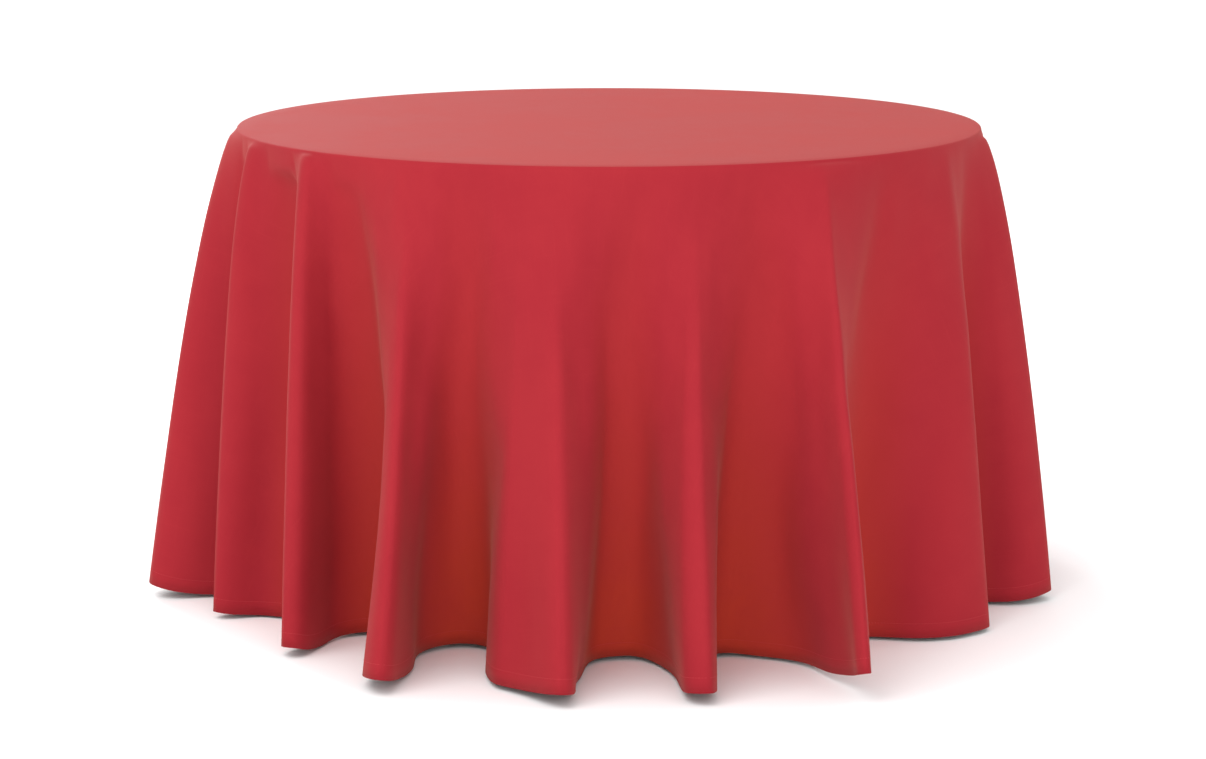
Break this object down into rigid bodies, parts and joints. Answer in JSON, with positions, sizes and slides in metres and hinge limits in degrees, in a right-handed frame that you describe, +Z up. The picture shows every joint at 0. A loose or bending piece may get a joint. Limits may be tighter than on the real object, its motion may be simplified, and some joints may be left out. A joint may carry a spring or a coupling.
{
  "type": "draped tablecloth",
  "caption": "Round tablecloth draped in deep folds over a round folding table with hinged leg frames and hooked stays.",
  "frame": {"origin": "on the floor under the middle of the table", "axes": "+Z up, -Y is the front, +X is to the right of someone who faces the front"},
  "size_m": [1.52, 1.491, 0.7644],
  "materials": {
    "cloth_red": "matte woven polyester",
    "label_white": "satin woven tape",
    "laminate": "fine textured laminate",
    "plywood": "sanded birch plywood",
    "edge_vinyl": "moulded vinyl",
    "rail_steel": "powder coated",
    "leg_steel": "powder coated",
    "bracket_zinc": "zinc plated",
    "fixings": "zinc plated",
    "foot_rubber": "moulded rubber"
  },
  "bodies": {
    "table_top": {"top_core": "plywood", "top_laminate": "laminate", "edge_band": "edge_vinyl", "rail_front": "rail_steel", "rail_rear": "rail_steel", "bracket_left_front": "bracket_zinc", "bracket_left_rear": "bracket_zinc", "bracket_right_front": "bracket_zinc", "bracket_right_rear": "bracket_zinc", "pivot_bolts_left": "fixings", "pivot_bolts_right": "fixings", "stay_anchor_left": "bracket_zinc", "stay_anchor_right": "bracket_zinc", "anchor_pin_left": "fixings", "anchor_pin_right": "fixings", "bracket_screws": "fixings", "anchor_screws": "fixings", "rail_screws": "fixings"},
    "leg_frame_left": {"leg_left_front": "leg_steel", "leg_left_rear": "leg_steel", "cross_bar_left": "leg_steel", "foot_left_front": "foot_rubber", "foot_left_rear": "foot_rubber"},
    "leg_frame_right": {"leg_right_front": "leg_steel", "leg_right_rear": "leg_steel", "cross_bar_right": "leg_steel", "foot_right_front": "foot_rubber", "foot_right_rear": "foot_rubber"},
    "stay_left": {"stay_left": "leg_steel"},
    "stay_right": {"stay_right": "leg_steel"},
    "cloth": {"tablecloth": "cloth_red", "care_label": "label_white"}
  },
  "joints": [
    {"name": "left_leg_fold", "type": "hinge", "parent": "table_top", "child": "leg_frame_left", "pos_m": [-0.3996, 0, 0.7001], "axis": [0, -1, 0], "range_deg": [0, 90]},
    {"name": "right_leg_fold", "type": "hinge", "parent": "table_top", "child": "leg_frame_right", "pos_m": [0.3996, 0, 0.6601], "axis": [0, 1, 0], "range_deg": [0, 90]},
    {"name": "left_stay_lift", "type": "hinge", "parent": "table_top", "child": "stay_left", "pos_m": [-0.1696, 0, 0.7258], "axis": [0, 1, 0], "range_deg": [0, 54.2]},
    {"name": "right_stay_lift", "type": "hinge", "parent": "table_top", "child": "stay_right", "pos_m": [0.1696, 0, 0.7258], "axis": [0, -1, 0], "range_deg": [0, 54.2]},
    {"name": "cloth_lift", "type": "slide", "parent": "table_top", "child": "cloth", "axis": [0, 0, 1], "range_m": [0, 0.85]}
  ],
  "couplings": [
    {"joint": "left_stay_lift", "follows": "left_leg_fold", "ratio": 0.60142},
    {"joint": "right_stay_lift", "follows": "right_leg_fold", "ratio": 0.60142}
  ]
}
